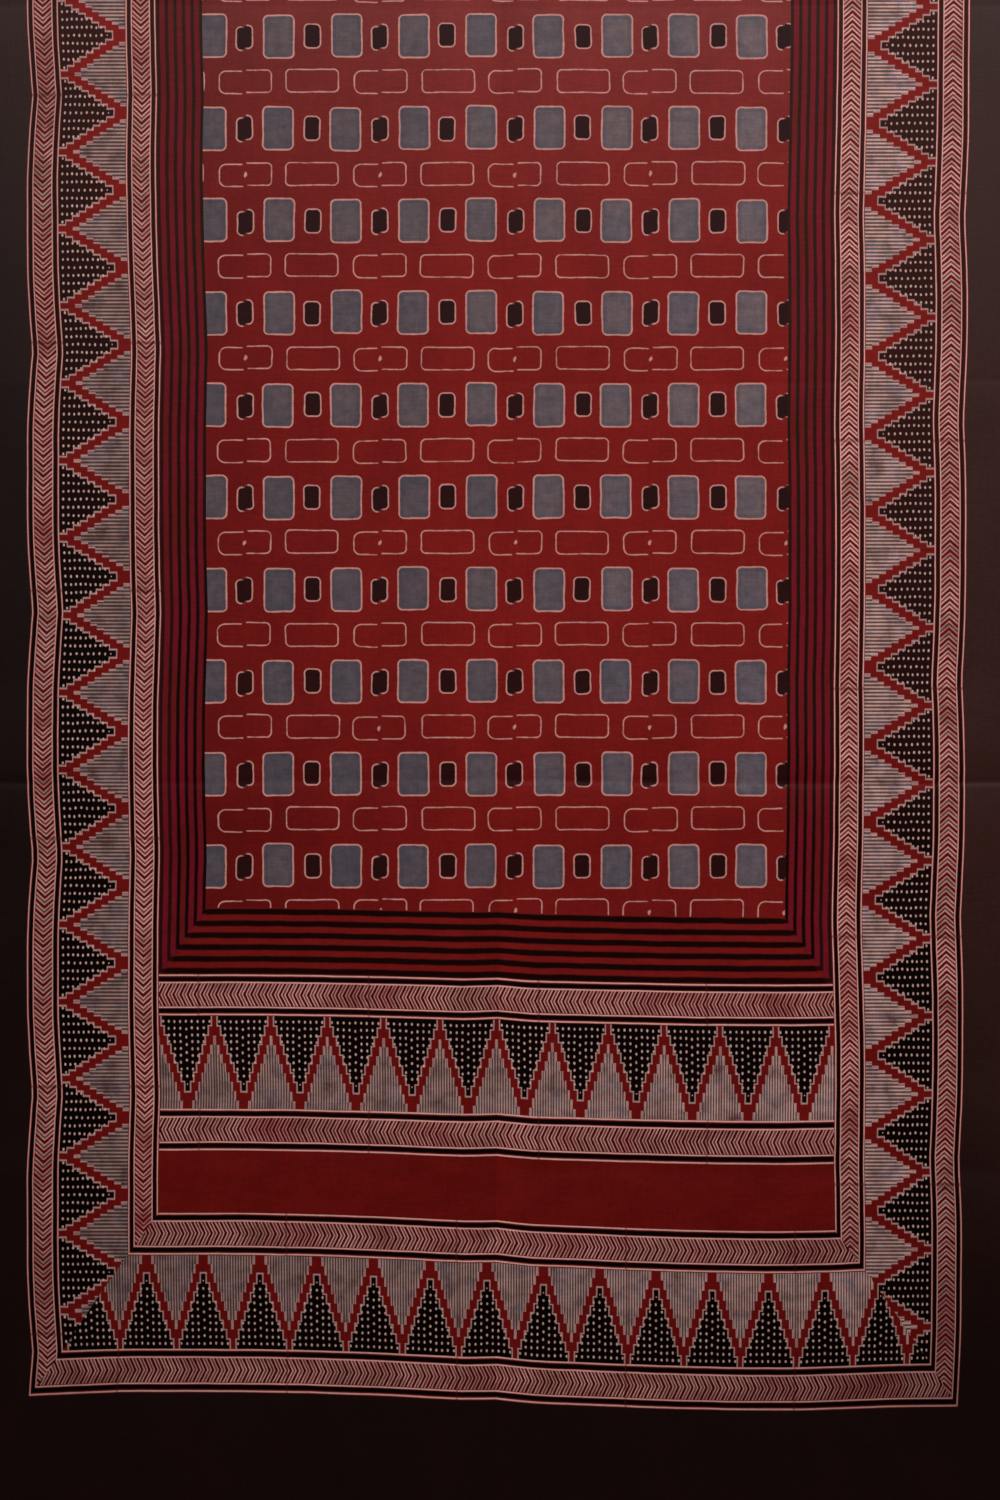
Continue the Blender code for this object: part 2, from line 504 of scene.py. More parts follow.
def build_cloth():
    """The sheet as one closed mesh: its face, its underside and the edge all round."""
    sheet = Sheet()
    cols = columns()
    lines = rows()
    top = []
    under = []
    for row in lines:
        top_row = []
        under_row = []
        for column in cols:
            x, y = place(column, row)
            low = FOLD_SHARE * lift(x, y) + waves(x, y)
            high = low + CLOTH_THICKNESS + hem_rise(LENGTH / 2 - abs(y)) + crease_lines(x, y)
            top_row.append(sheet.point(column, row, x, y, high))
            under_row.append(sheet.point(column, row, x, y, low))
        top.append(top_row)
        under.append(under_row)
    for j in range(len(lines) - 1):
        for i in range(len(cols) - 1):
            column = cols[i + 1] if cols[i + 1].far else cols[i]
            row = lines[j + 1] if lines[j + 1].far else lines[j]
            by_side, by_end = regions(column, row)
            for level, flip in ((top, False), (under, True)):
                quad = [level[j][i], level[j][i + 1], level[j + 1][i + 1], level[j + 1][i]]
                if by_side == by_end:
                    pieces = [(quad, by_side)]
                else:
                    pieces = mitred(quad, column.far, row.far, by_side, by_end)
                for corners, region in pieces:
                    sheet.face(list(reversed(corners)) if flip else corners, region)
    edge = ("margin", "")
    last_row = len(top) - 1
    last_column = len(top[0]) - 1
    for i in range(last_column):
        sheet.face([top[0][i + 1], top[0][i], under[0][i], under[0][i + 1]], edge, 2 * MM)
        far_top, far_under = top[last_row], under[last_row]
        sheet.face([far_top[i], far_top[i + 1], far_under[i + 1], far_under[i]], edge, 2 * MM)
    for j in range(last_row):
        sheet.face([top[j][0], top[j + 1][0], under[j + 1][0], under[j][0]], edge, 2 * MM)
        k = last_column
        sheet.face([top[j + 1][k], top[j][k], under[j][k], under[j + 1][k]], edge, 2 * MM)
    return sheet


def mitred(quad, right, far, by_side, by_end):
    """The two triangles of a face that lies on a mitre, cut from the cloth's corner towards its middle."""
    low_left, low_right, high_right, high_left = quad
    if right == far:
        to_right = [low_left, low_right, high_right]
        to_left = [low_left, high_right, high_left]
        side = to_right if right else to_left
        end = to_left if right else to_right
    else:
        lower = [low_left, low_right, high_left]
        upper = [low_right, high_right, high_left]
        side = upper if right else lower
        end = lower if right else upper
    return [(side, by_side), (end, by_end)]


# Colours of the dyes and of bare cotton, as linear red, green and blue
CREAM = (0.66, 0.305, 0.270)
PALE = (0.58, 0.330, 0.295)
TRIANGLE_CREAM = (0.50, 0.275, 0.252)
TRIANGLE_RED = (0.165, 0.0062, 0.0056)
DOT_CREAM = (0.72, 0.450, 0.390)
STRIP_GROUND = (0.93, 0.462, 0.408)
STRIP_OLIVE = (0.48, 0.260, 0.205)
STRIP_ROSE = (0.50, 0.145, 0.145)
MADDER = (0.234, 0.0105, 0.0090)
MADDER_PALE = (0.240, 0.0300, 0.0265)
BAND_RED = (0.144, 0.0057, 0.0042)
CRIMSON = (0.187, 0.0070, 0.0165)
BROWN_RED = (0.150, 0.0095, 0.0080)
IRON_BLACK = (0.0035, 0.0008, 0.0006)
FADED_BLACK = (0.034, 0.0070, 0.0060)
PLUM_BLACK = (0.026, 0.0045, 0.0048)
MARGIN_COOL = (0.0095, 0.0028, 0.0022)
MARGIN_WARM = (0.0440, 0.0135, 0.0105)
GREY_BLUE = (0.134, 0.105, 0.121)
GREY_BROWN = (0.150, 0.098, 0.101)
DEEP_BLUE = (0.060, 0.060, 0.090)
LINE_GREY = (0.050, 0.032, 0.030)
STROKE_RED = (0.155, 0.0045, 0.0065)
STROKE_MAROON = (0.088, 0.0028, 0.0042)
STROKE_BROWN = (0.050, 0.028, 0.021)
STROKE_RUST = (0.120, 0.011, 0.010)
STRIPE_BROWN = (0.022, 0.0090, 0.0035)

MARGIN_SHEEN = 0.095  # specular level
PRINT_SHEEN = 0.040


class Term:
    """A number that a material works out at each point. Sums and products of terms become nodes."""

    def __init__(self, ink, socket):
        self.ink = ink
        self.socket = socket

    def __add__(self, other):
        return self.ink.math("ADD", self, other)

    def __radd__(self, other):
        return self.ink.math("ADD", other, self)

    def __sub__(self, other):
        return self.ink.math("SUBTRACT", self, other)

    def __rsub__(self, other):
        return self.ink.math("SUBTRACT", other, self)

    def __mul__(self, other):
        return self.ink.math("MULTIPLY", self, other)

    def __rmul__(self, other):
        return self.ink.math("MULTIPLY", other, self)

    def __truediv__(self, other):
        return self.ink.math("DIVIDE", self, other)

    def __neg__(self):
        return self.ink.math("MULTIPLY", self, -1.0)


class Ink:
    """A material for one region of the print, with short names for the nodes that it uses."""

    def __init__(self, name):
        self.material = bpy.data.materials.new(name)
        self.material.use_nodes = True
        self.nodes = self.material.node_tree.nodes
        self.links = self.material.node_tree.links
        self.shader = self.nodes["Principled BSDF"]

    def feed(self, socket, value):
        """Puts a term, a socket or a plain value into an input."""
        if isinstance(value, Term):
            self.links.new(value.socket, socket)
        elif isinstance(value, bpy.types.NodeSocket):
            self.links.new(value, socket)
        elif isinstance(value, tuple):
            socket.default_value = (*value, 1.0)
        else:
            socket.default_value = value

    def math(self, operation, *values, clamp=False):
        """One Math node."""
        node = self.nodes.new("ShaderNodeMath")
        node.operation = operation
        node.use_clamp = clamp
        for socket, value in zip(node.inputs, values):
            self.feed(socket, value)
        return Term(self, node.outputs[0])

    def low(self, a, b):
        return self.math("MINIMUM", a, b)

    def high(self, a, b):
        return self.math("MAXIMUM", a, b)

    def size(self, a):
        return self.math("ABSOLUTE", a)

    def whole(self, a):
        return self.math("FLOOR", a)

    def rest(self, a):
        return self.math("FRACT", a)

    def length(self, a, b):
        return self.math("SQRT", self.math("ADD", a * a, b * b))

    def within(self, distance, soft):
        """1 where the distance is under 0 and 0 where it is over 0, turning over this length."""
        return self.math("MULTIPLY_ADD", distance, -1.0 / soft, 0.5, clamp=True)

    def map(self, name):
        """The two numbers of a UV map."""
        source = self.nodes.new("ShaderNodeUVMap")
        source.uv_map = name
        split = self.nodes.new("ShaderNodeSeparateXYZ")
        self.links.new(source.outputs[0], split.inputs[0])
        return Term(self, split.outputs[0]), Term(self, split.outputs[1])

    def noise(self, x, y, scale_x, scale_y, detail=1.0, seed=0.0):
        """Smooth noise of about 0 to 1, with this many spots to a metre each way. Gives its value and a colour."""
        join = self.nodes.new("ShaderNodeCombineXYZ")
        self.feed(join.inputs[0], x * scale_x)
        self.feed(join.inputs[1], y * scale_y)
        join.inputs[2].default_value = seed
        node = self.nodes.new("ShaderNodeTexNoise")
        node.inputs["Scale"].default_value = 1.0
        node.inputs["Detail"].default_value = detail
        node.inputs["Roughness"].default_value = 0.55
        self.links.new(join.outputs[0], node.inputs["Vector"])
        return Term(self, node.outputs[0]), node.outputs[1]

    def parts(self, colour):
        """The first two channels of a colour, as terms around 0."""
        split = self.nodes.new("ShaderNodeSeparateColor")
        self.links.new(colour, split.inputs[0])
        return Term(self, split.outputs[0]) - 0.5, Term(self, split.outputs[1]) - 0.5

    def chance(self, a, b, seed=0.0):
        """Even random numbers of 0 to 1 for each pair of whole numbers."""
        join = self.nodes.new("ShaderNodeCombineXYZ")
        self.feed(join.inputs[0], a)
        self.feed(join.inputs[1], b)
        join.inputs[2].default_value = seed
        node = self.nodes.new("ShaderNodeTexWhiteNoise")
        node.noise_dimensions = "3D"
        self.links.new(join.outputs[0], node.inputs["Vector"])
        split = self.nodes.new("ShaderNodeSeparateColor")
        self.links.new(node.outputs["Color"], split.inputs[0])
        return [Term(self, socket) for socket in split.outputs]

    def mix(self, share, first, second):
        """The first colour at share 0 and the second at share 1."""
        node = self.nodes.new("ShaderNodeMix")
        node.data_type = "RGBA"
        self.feed(node.inputs[0], share)
        self.feed(node.inputs[6], first)
        self.feed(node.inputs[7], second)
        return node.outputs[2]

    def scaled(self, colour, factor):
        """The colour times a term."""
        node = self.nodes.new("ShaderNodeVectorMath")
        node.operation = "SCALE"
        self.links.new(colour, node.inputs[0])
        self.feed(node.inputs["Scale"], factor)
        return node.outputs[0]


def wobbled(ink, x, y, reach, spots, seed):
    """How far hand printing moves the print's edges here, along x and y."""
    _, colour = ink.noise(x, y, spots, spots, 1.0, seed)
    across, along = ink.parts(colour)
    return across * (2.0 * reach), along * (2.0 * reach)


def faded(ink, x, y):
    """How far the blacks have faded to brown: most at the cloth's middle and on its right side."""
    return ink.math("ADD", y * 2.0 + 1.28, x * 0.85, clamp=True)


def painted_end_shade(ink, x, y):
    """Painted shade, as a factor on the colour: darker towards the end, and more so towards its corners."""
    near_end = ink.math("MULTIPLY_ADD", y, -4.0, -3.5, clamp=True)
    return 1.0 - near_end * (0.09 + 0.44 * ink.size(x))


def seam(ink, along, first, length, half):
    """1 on the line where one printing block stops and the next starts."""
    share = ink.rest((along - first) / length + 0.5) - 0.5
    return ink.within(ink.size(share) * length - half, half)


def finish(ink, colour, x, y, sheen=PRINT_SHEEN):
    """Gives the cloth its uneven dye, its grain of threads, its roughness and its relief, and paints shade at the
    crease along the cloth towards the ends: darker along its line and on its left side, lighter on its right.
    """
    grain, _ = ink.noise(x, y, 620.0, 620.0, 2.0, 1.3)
    weft, _ = ink.noise(x, y, 45.0, 820.0, 1.0, 2.1)
    warp, _ = ink.noise(x, y, 820.0, 38.0, 1.0, 3.7)
    patches, _ = ink.noise(x, y, 26.0, 19.0, 2.0, 4.4)
    mottle, _ = ink.noise(x, y, 210.0, 330.0, 2.0, 6.6)
    shade = 0.40 * grain + 0.30 * weft + 0.22 * warp + 0.30 * patches + 0.32 * mottle
    slant = ink.math("MULTIPLY_ADD", y, -1.0 / SLANT_LENGTH, -SLANT_START / SLANT_LENGTH, clamp=True)
    from_crease = x - MIDDLE_CREASE + slant * MIDDLE_SLANT
    right = ink.math("MULTIPLY_ADD", from_crease, 400.0, 0.5, clamp=True)
    near = ink.math("MULTIPLY_ADD", ink.size(from_crease), -28.0, 1.0, clamp=True)
    low = ink.math("MULTIPLY_ADD", y, -5.0, -2.8, clamp=True)
    line = ink.within(ink.size(from_crease) - 0.40 * MM, 0.6 * MM)
    # Painted shade from the crease along the cloth, near the ends: darker along its line and on its left side,
    # lighter on its right.
    worn = 1.0 + low * (near * (right - 0.5) * 0.16 - line * 0.20)
    ink.feed(ink.shader.inputs["Base Color"], ink.scaled(colour, (0.23 + shade) * worn))
    ink.feed(ink.shader.inputs["Roughness"], 0.34 + 0.10 * grain + 0.08 * patches)
    ink.shader.inputs["Specular IOR Level"].default_value = sheen
    relief = 0.5 * grain + 0.6 * weft + 0.6 * warp
    bump = ink.nodes.new("ShaderNodeBump")
    bump.inputs["Strength"].default_value = 0.5
    bump.inputs["Distance"].default_value = 0.12 * MM
    ink.feed(bump.inputs["Height"], relief)
    ink.feed(ink.shader.inputs["Normal"], bump.outputs[0])
    return ink.material


def margin_ink():
    """Overdyed nearly black."""
    ink = Ink("margin")
    x, y = ink.map("Print")
    cloudy, _ = ink.noise(x, y, 9.0, 5.0, 2.0, 8.8)
    warm = ink.math("ADD", y * 1.95 + 1.5, x * (y * 0.9 + 2.46), clamp=True)
    colour = ink.mix(ink.low(warm, 0.92), MARGIN_COOL, MARGIN_WARM)
    colour = ink.scaled(colour, 0.8 + 0.4 * cloudy)
    return finish(ink, colour, x, y, MARGIN_SHEEN)


def red_ink():
    """The plain red band."""
    ink = Ink("red_band")
    x, y = ink.map("Print")
    cloudy, _ = ink.noise(x, y, 30.0, 60.0, 3.0, 5.1)
    colour = ink.mix(cloudy * 0.3, BAND_RED, MADDER)
    return finish(ink, ink.scaled(colour, 0.80 + 0.3 * cloudy), x, y)


def strip_ink(name, stroke_colour, stroke_half, between_colour, between_half, joints):
    """A strip of arrow strokes between dark and light lines. The widths are shares of a stroke's repeat.

    joints gives the first joint between two printing blocks and a block's length, in strokes.
    """
    ink = Ink(name)
    x, y = ink.map("Print")
    along, depth = ink.map("Block")
    shift_a, shift_d = wobbled(ink, x, y, 0.45 * MM, 28.0, 11.0)
    _, fine_d = wobbled(ink, x, y, 0.11 * MM, 120.0, 13.0)
    depth = depth + shift_d + fine_d
    first, length = joints
    joint = seam(ink, along, first, length, 0.16)
    block, _, _ = ink.chance(ink.whole((along - first) / length), 0.0, 15.0)
    along = along + shift_a * 80.0
    blotch, _ = ink.noise(x, y, 160.0, 160.0, 2.0, 12.0)
    _, tint = ink.noise(x, y, 30.0, 30.0, 2.0, 14.0)
    olive, rose = ink.parts(tint)
    soft = 0.4 * MM

    slant = ink.size(depth - 16.9 * MM) * (0.474 / END_STROKE)
    phase = ink.rest(along - slant)
    uneven = 0.14 * (blotch - 0.5)
    stroke = ink.within(ink.size(phase - 0.28) - stroke_half - uneven, 0.06)
    between = ink.within(ink.size(phase - 0.77) - between_half + uneven, 0.08)
    olive_share = ink.math("ADD", olive * 4.0, 0.08 + 0.26 * block, clamp=True)
    ground = ink.mix(olive_share, STRIP_GROUND, STRIP_OLIVE)
    to_end = ink.math("MULTIPLY_ADD", y, -0.6, -0.49, clamp=True)
    ground = ink.mix(ink.math("ADD", rose * 2.8, 0.13 + to_end, clamp=True), ground, STRIP_ROSE)
    swelling, _ = ink.noise(x, y, 16.0, 16.0, 1.0, 16.0)
    heavy = ink.math("MULTIPLY_ADD", swelling, 2.4, -0.85, clamp=True)
    colour = ink.mix(between * (0.86 + 0.12 * heavy), ground, ink.mix(heavy, between_colour, stroke_colour))
    colour = ink.mix(stroke, colour, stroke_colour)

    black = ink.mix(faded(ink, x, y), IRON_BLACK, FADED_BLACK)
    middle = ink.size(depth - 16.9 * MM)
    outside = ink.within(9.6 * MM - middle, soft)
    colour = ink.mix(outside, colour, BROWN_RED)
    folded = ink.size(depth - 16.6 * MM)
    dark = ink.within(ink.size(folded - 13.25 * MM) - 1.65 * MM, soft)
    colour = ink.mix(dark, colour, black)
    light = ink.low(ink.size(folded - 16.5 * MM) - 0.60 * MM, ink.size(folded - 10.4 * MM) - 0.55 * MM)
    colour = ink.mix(ink.within(light, soft), colour, STRIP_GROUND)
    colour = ink.mix(joint * 0.45, colour, STROKE_MAROON)
    # Painted light and shade: the strips' colour is brighter to the right and darker towards the end, most at the
    # end's right-hand side. It is also a little darker more than 0.28 m across from the middle.
    to_right = ink.math("MULTIPLY_ADD", x, 0.31, 0.93)
    past_triangles = ink.math("MULTIPLY_ADD", ink.size(x), 1.2, -0.336, clamp=True)
    painted_shade_end_right = ink.math("MULTIPLY_ADD", y, -1.6, -0.9, clamp=True) * ink.math("MULTIPLY", x, 0.8, clamp=True)
    shade = to_right * (1.0 - past_triangles) * (painted_end_shade(ink, x, y) - painted_shade_end_right)
    return finish(ink, ink.scaled(colour, shade), x, y)


def triangle_ink():
    """Stepped black triangles full of dots, edged in light and red, on a pale ground of fine lines."""
    ink = Ink("triangles")
    x, y = ink.map("Print")
    along, depth = ink.map("Block")
    shift_a, shift_d = wobbled(ink, x, y, 0.5 * MM, 50.0, 21.0)
    cell = ink.whole(along)
    v = (ink.rest(along) - 0.5) * BLOCK_PITCH + shift_a
    side = ink.size(v)
    d = depth + shift_d
    soft = 0.5 * MM

    def stairs(into):
        """Half-width of the triangle this far into the block."""
        step = ink.high(ink.whole(into / (7.44 * MM)), 0.0)
        return 19.8 * MM - step * (2.56 * MM)

    black_edge = ink.high(stairs(d), 1.76 * MM)
    black = ink.within(ink.high(side - black_edge, d - 60.0 * MM), soft)
    light_edge = ink.high(stairs(d - 1.0 * MM), 1.76 * MM) + 1.00 * MM
    light = ink.within(ink.high(side - light_edge, d - 61.3 * MM), soft)
    red_edge = ink.high(stairs(d - 0.8 * MM) + 6.9 * MM, 3.8 * MM)
    red = ink.within(side - red_edge, soft)
    rim = ink.within(side - red_edge - 0.90 * MM, soft)

    blotch, tint = ink.noise(x, y, 70.0, 70.0, 2.0, 23.0)
    pick, pick_other = ink.parts(tint)
    lines = ink.rest(along * 21.0)
    thread = ink.within(ink.size(lines - 0.5) - 0.30 - 0.25 * pick, 0.16)
    ground = ink.mix(ink.math("MULTIPLY_ADD", pick, 2.0, 0.1, clamp=True), PALE, GREY_BROWN)
    line_colour = ink.mix(ink.math("MULTIPLY_ADD", pick_other, 5.0, 0.1, clamp=True), LINE_GREY, DEEP_BLUE)
    # Painted light on the pale ground and its fine lines: brighter to the right and towards the cloth's middle.
    to_right = ink.math("MULTIPLY_ADD", x, 1.3, 0.5, clamp=True)
    painted_light_at_middle = ink.math("MULTIPLY_ADD", y, 3.0, 1.0, clamp=True)
    lit = 0.68 + to_right * (0.52 + 0.14 * to_right) + 0.18 * painted_light_at_middle
    colour = ink.scaled(ink.mix(thread * 0.9, ground, line_colour), lit)
    flush = ink.math("MULTIPLY_ADD", blotch, 7.0, -4.5, clamp=True)
    colour = ink.mix(flush * 0.45, colour, STROKE_RED)

    colour = ink.mix(rim, colour, TRIANGLE_CREAM)
    worn = faded(ink, x, y)
    colour = ink.mix(red, colour, ink.mix(worn, TRIANGLE_RED, MADDER))
    colour = ink.mix(light, colour, TRIANGLE_CREAM)
    colour = ink.mix(black, colour, ink.mix(worn, IRON_BLACK, FADED_BLACK))

    column = ink.math("ROUND", v / (4.68 * MM))
    is_middle = ink.within(ink.size(column) - 0.5, 0.1)
    dot_pitch = 5.46 * MM + is_middle * (0.80 * MM)
    row = ink.math("ROUND", (d - 4.4 * MM) / dot_pitch)
    dot_v = column * (4.68 * MM)
    dot_d = row * dot_pitch + 4.4 * MM
    wide, tall, bright = ink.chance(column + cell * 11.0, row, 24.0)
    off_v = (v - dot_v + (wide - 0.5) * (0.35 * MM)) / (0.74 * MM + 0.16 * MM * tall)
    off_d = (d - dot_d + (tall - 0.5) * (0.45 * MM)) / (1.00 * MM + 0.22 * MM * wide)
    room = stairs(dot_d) - ink.size(dot_v) + 0.4 * MM
    there = ink.low(ink.math("GREATER_THAN", room, 0.0), ink.math("GREATER_THAN", row, -0.5))
    in_tip = ink.math("GREATER_THAN", dot_d, 50.0 * MM)
    there = ink.low(there, ink.math("LESS_THAN", dot_d, 56.0 * MM))
    dot = ink.within(ink.length(off_v, off_d) - 1.0 + in_tip * 0.45, 0.4) * there
    colour = ink.mix(dot * (0.75 + 0.25 * bright), colour, DOT_CREAM)
    joint = seam(ink, along, 1.0, 3.0, 0.016)
    colour = ink.mix(joint * 0.35, colour, STROKE_MAROON)
    # Painted shade darkens the triangles towards the end and its corners.
    return finish(ink, ink.scaled(colour, painted_end_shade(ink, x, y)), x, y)


def stripe_ink():
    """Six dark stripes on red. Beside the field the red is crimson, with browner patches."""
    ink = Ink("stripes")
    x, y = ink.map("Print")
    _, count = ink.map("Block")
    _, shift = wobbled(ink, x, y, 0.35, 60.0, 31.0)
    number = ink.whole(count)
    off = ink.size(ink.rest(count + shift * 0.18) - 0.5)
    past_mitre = (0.0 - y - STRIPE_CORNER_Y) * (SIDE_STRIPE_PITCH / END_STRIPE_PITCH)
    beside = ink.math("MULTIPLY_ADD", ink.size(x) - STRIPE_CORNER_X - past_mitre, 300.0, 0.5, clamp=True)
    dark = ink.within(off - 0.252 + beside * 0.050, 0.13)
    blotch, _ = ink.noise(x, y, 50.0, 50.0, 2.0, 32.0)
    patch, _ = ink.noise(x, y, 75.0, 13.0, 2.0, 33.0)
    browner = ink.math("MULTIPLY_ADD", patch, 5.0, -2.3, clamp=True)
    red = ink.mix(beside, MADDER, ink.mix(browner, CRIMSON, BROWN_RED))
    odd = ink.within(number - 1.5, 0.1) * beside * 0.7
    line = ink.mix(faded(ink, x, y), IRON_BLACK, STRIPE_BROWN)
    line = ink.mix(odd, line, PLUM_BLACK)
    # Painted light: the red is brighter to the right.
    to_right = ink.math("MULTIPLY_ADD", x, 0.25, 0.76)
    colour = ink.mix(dark * 0.97, ink.scaled(red, to_right + 0.2 * blotch + 0.10 * beside), line)
    return finish(ink, colour, x, y)


def rounded_box(ink, x, y, half_x, half_y, radius):
    """Distance from the edge of a box with round corners, under 0 inside it."""
    over_x = ink.size(x) - (half_x - radius)
    over_y = ink.size(y) - (half_y - radius)
    outer = ink.length(ink.high(over_x, 0.0), ink.high(over_y, 0.0))
    inner = ink.low(ink.high(over_x, over_y), 0.0)
    return outer + inner - radius


def field_ink():
    """Red ground with rows of blue-grey and dark rounded blocks between rows of wide outlines."""
    ink = Ink("field")
    x, y = ink.map("Print")
    across, along = ink.map("Block")
    shift_x, shift_y = wobbled(ink, x, y, 0.7 * MM, 50.0, 41.0)
    blotch, _ = ink.noise(x, y, 120.0, 120.0, 3.0, 42.0)
    cloudy, _ = ink.noise(x, y, 22.0, 14.0, 2.0, 43.0)
    fine_x, fine_y = wobbled(ink, x, y, 0.22 * MM, 230.0, 48.0)
    shift_x = shift_x + fine_x
    shift_y = shift_y + fine_y
    soft = 0.5 * MM
    line_wide = 0.50 * MM + 0.7 * MM * (blotch - 0.5)

    # blue-grey blocks, halfway between the whole numbers each way
    big_column = ink.whole(across)
    big_row = ink.whole(along)
    jog_x, jog_y, tone = ink.chance(big_column, big_row, 44.0)
    big_x = (across - big_column - 0.5) * FIELD_PITCH_X + shift_x + (jog_x - 0.5) * (1.4 * MM)
    big_y = (along - big_row - 0.51) * FIELD_PITCH_Y + shift_y + (jog_y - 0.5) * (1.6 * MM)
    big = rounded_box(ink, big_x, big_y, 12.0 * MM, 17.1 * MM, 3.9 * MM)

    # narrow dark blocks on the whole numbers across. Every other one is printed by two blocks that don't quite meet
    narrow = ink.math("ROUND", across)
    joint = 1.0 - ink.rest(narrow * 0.5) * 2.0
    jog_x, jog_y, _ = ink.chance(narrow, big_row, 45.0)
    small_x = (across - narrow) * FIELD_PITCH_X + shift_x + (jog_x - 0.5) * (1.2 * MM)
    left = ink.within(small_x, 0.3 * MM) * joint
    small_y = (along - big_row - 0.51) * FIELD_PITCH_Y + shift_y + (jog_y - 0.5) * (1.4 * MM) - left * (1.7 * MM)
    small = rounded_box(ink, small_x, small_y, 6.4 * MM, 9.5 * MM, 3.7 * MM)

    # wide outlines on the whole numbers both ways
    wide_row = ink.math("ROUND", along)
    jog_x, jog_y, spot = ink.chance(narrow, wide_row, 46.0)
    wide_x = (across - narrow) * FIELD_PITCH_X + shift_x + (jog_x - 0.5) * (1.6 * MM)
    wide_y = (along - wide_row) * FIELD_PITCH_Y + shift_y + (jog_y - 0.5) * (1.4 * MM) - left * (1.0 * MM)
    wide = rounded_box(ink, wide_x, wide_y, 21.0 * MM, 9.0 * MM, 3.8 * MM + left * (2.0 * MM))

    gap = ink.within(ink.size(small_x) - 1.7 * MM, 0.8 * MM) * joint
    paler = ink.math("MULTIPLY_ADD", y, 3.6, 1.0, clamp=True)
    paler = ink.math("MULTIPLY", paler * paler, 1.15, clamp=True)
    ground = ink.mix(paler, MADDER, MADDER_PALE)
    # Painted light and shade on the red ground: brighter from the left towards the middle, darker towards the end.
    painted_light_from_left = ink.math("MULTIPLY_ADD", x, 5.0, 1.15, clamp=True)
    painted_shade_past_middle = ink.math("MULTIPLY_ADD", y, -0.8, -0.42, clamp=True)
    ground = ink.scaled(ground, (0.70 + 0.42 * cloudy) * (0.80 + 0.31 * painted_light_from_left - painted_shade_past_middle))
    brownish, _ = ink.noise(x, y, 45.0, 45.0, 2.0, 47.0)
    block_shade = ink.mix(ink.math("MULTIPLY_ADD", brownish, 3.0, -1.0, clamp=True), GREY_BLUE, GREY_BROWN)
    fresh = 1.0 - faded(ink, x, y)
    block_shade = ink.mix(tone * 0.28 + fresh * 0.22, block_shade, DEEP_BLUE)
    # Painted light: the blue-grey blocks are brighter to the right.
    to_right = ink.math("MULTIPLY_ADD", x, 2.2, 0.2, clamp=True)
    block_shade = ink.scaled(block_shade, (0.38 + 0.78 * blotch + 0.45 * brownish) * (0.95 + 0.57 * to_right))
    rim = ink.within(ink.size(big + 2.2 * MM) - 1.3 * MM, 1.6 * MM)
    block_shade = ink.mix(rim * 0.30, block_shade, DEEP_BLUE)
    colour = ink.mix(ink.within(big, soft), ground, block_shade)
    colour = ink.mix(ink.within(ink.size(big) - line_wide - 0.12 * MM, soft), colour, CREAM)
    colour = ink.mix(ink.within(small, soft), colour, PLUM_BLACK)
    line = ink.within(ink.size(small) - line_wide - 0.06 * MM, soft) * (1.0 - gap * 0.85)
    colour = ink.mix(line, colour, CREAM)
    worn = ink.math("MULTIPLY_ADD", blotch, 4.0, -0.9, clamp=True)
    line = ink.within(ink.size(wide) - line_wide, soft) * (1.0 - gap) * (0.45 + 0.55 * worn)
    colour = ink.mix(line, colour, CREAM)
    seed = ink.within(ink.length(wide_x, wide_y * 0.7) - 1.3 * MM, soft) * joint
    seed = seed * (1.0 - ink.rest(wide_row * 0.5) * 2.0) * ink.math("GREATER_THAN", spot, 0.08)
    colour = ink.mix(seed, colour, CREAM)
    return finish(ink, colour, x, y)


def make_cloth():
    """The piece, with its mesh, maps and materials."""
    sheet = build_cloth()
    mesh = bpy.data.meshes.new("cloth_print")
    mesh.from_pydata(sheet.points, [], sheet.faces)
    for name, values in (("Print", sheet.printed), ("Block", sheet.block), ("OFBake", sheet.bake)):
        layer = mesh.uv_layers.new(name=name)
        layer.data.foreach_set("uv", [number for pair in values for number in pair])
    mesh.materials.append(margin_ink())
    mesh.materials.append(strip_ink("side_strip", STROKE_RED, 0.185, STROKE_BROWN, 0.130, SIDE_BLOCKS))
    mesh.materials.append(strip_ink("end_strip", STROKE_MAROON, 0.190, STROKE_RUST, 0.150, END_BLOCKS))
    mesh.materials.append(triangle_ink())
    mesh.materials.append(stripe_ink())
    mesh.materials.append(red_ink())
    mesh.materials.append(field_ink())
    mesh.polygons.foreach_set("material_index", sheet.slots)
    mesh.shade_smooth()
    mesh.set_sharp_from_angle(angle=math.radians(50))
    mesh.update()
    piece = bpy.data.objects.new("ajrakh_cloth", mesh)
    bpy.context.scene.collection.objects.link(piece)
    return piece


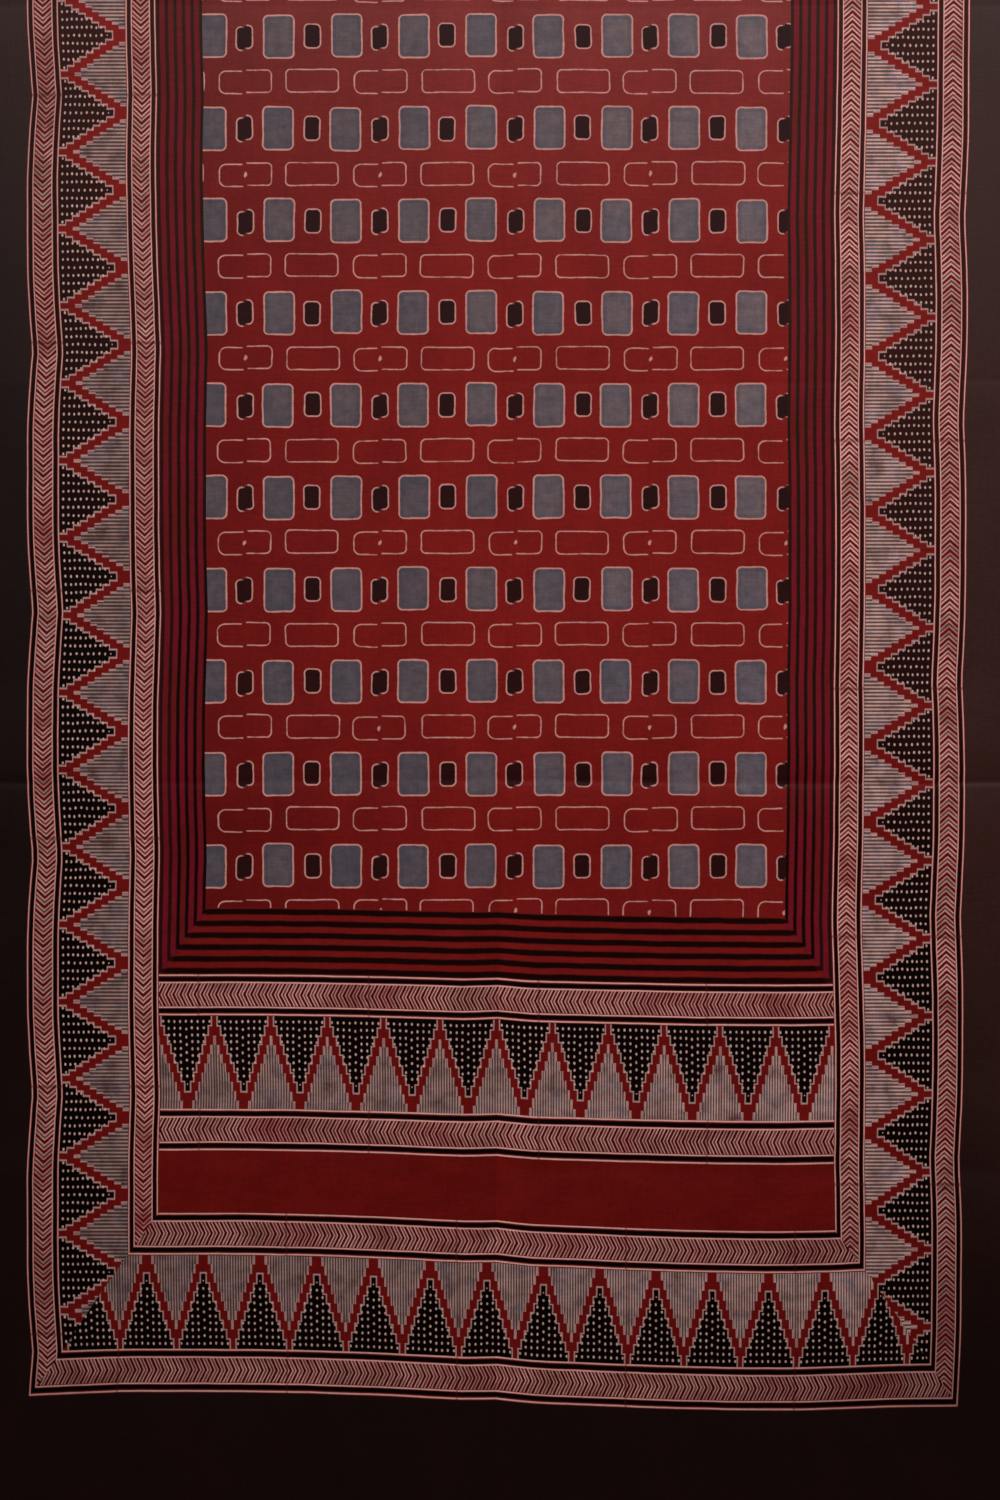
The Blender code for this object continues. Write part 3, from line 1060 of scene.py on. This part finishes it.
def make_floor():
    """The plain pale surface that the cloth lies on."""
    size = 4.0
    mesh = bpy.data.meshes.new("floor")
    mesh.from_pydata([(-size, -size, 0), (size, -size, 0), (size, size, 0), (-size, size, 0)], [], [(0, 1, 2, 3)])
    ink = bpy.data.materials.new("floor")
    ink.use_nodes = True
    nodes = ink.node_tree.nodes
    speckle = nodes.new("ShaderNodeTexNoise")
    speckle.inputs["Scale"].default_value = 40.0
    ramp = nodes.new("ShaderNodeMix")
    ramp.data_type = "RGBA"
    ramp.inputs[6].default_value = (0.60, 0.58, 0.55, 1.0)
    ramp.inputs[7].default_value = (0.66, 0.64, 0.61, 1.0)
    ink.node_tree.links.new(speckle.outputs[0], ramp.inputs[0])
    ink.node_tree.links.new(ramp.outputs[2], nodes["Principled BSDF"].inputs["Base Color"])
    nodes["Principled BSDF"].inputs["Roughness"].default_value = 0.8
    mesh.materials.append(ink)
    floor = bpy.data.objects.new("floor", mesh)
    bpy.context.scene.collection.objects.link(floor)
    return floor


def make_light(name, place_at, aim, width, depth, power, colour):
    """A soft oblong light that faces a point."""
    data = bpy.data.lights.new(name, "AREA")
    data.shape = "RECTANGLE"
    data.size = width
    data.size_y = depth
    data.energy = power
    data.color = colour
    lamp = bpy.data.objects.new(name, data)
    lamp.location = place_at
    lamp.rotation_euler = (Vector(aim) - Vector(place_at)).to_track_quat("-Z", "Y").to_euler()
    bpy.context.scene.collection.objects.link(lamp)
    return lamp


def make_camera():
    """Looks straight down at the near half of the cloth, 1.2 m of it from top to bottom."""
    data = bpy.data.cameras.new("camera")
    data.lens = 60.0
    data.sensor_fit = "AUTO"
    data.sensor_width = 36.0
    camera = bpy.data.objects.new("camera", data)
    camera.location = (0.0068, -0.6088, 2.0 + 0.002)
    bpy.context.scene.collection.objects.link(camera)
    bpy.context.scene.camera = camera
    return camera


def set_world():
    """An even, dim surrounding."""
    world = bpy.data.worlds.new("surrounding")
    world.use_nodes = True
    world.node_tree.nodes["Background"].inputs[0].default_value = (1.0, 0.97, 0.95, 1.0)
    world.node_tree.nodes["Background"].inputs[1].default_value = 0.04
    bpy.context.scene.world = world
    bpy.context.scene.view_settings.view_transform = "Standard"


cloth = make_cloth()
floor = make_floor()
make_light("key", (0.20, 1.90, 4.2), (0.05, -0.30, 0.0), 2.8, 1.0, 175.0, (1.0, 0.98, 0.96))
make_camera()
set_world()

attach(cloth, "root")
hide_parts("cloth")
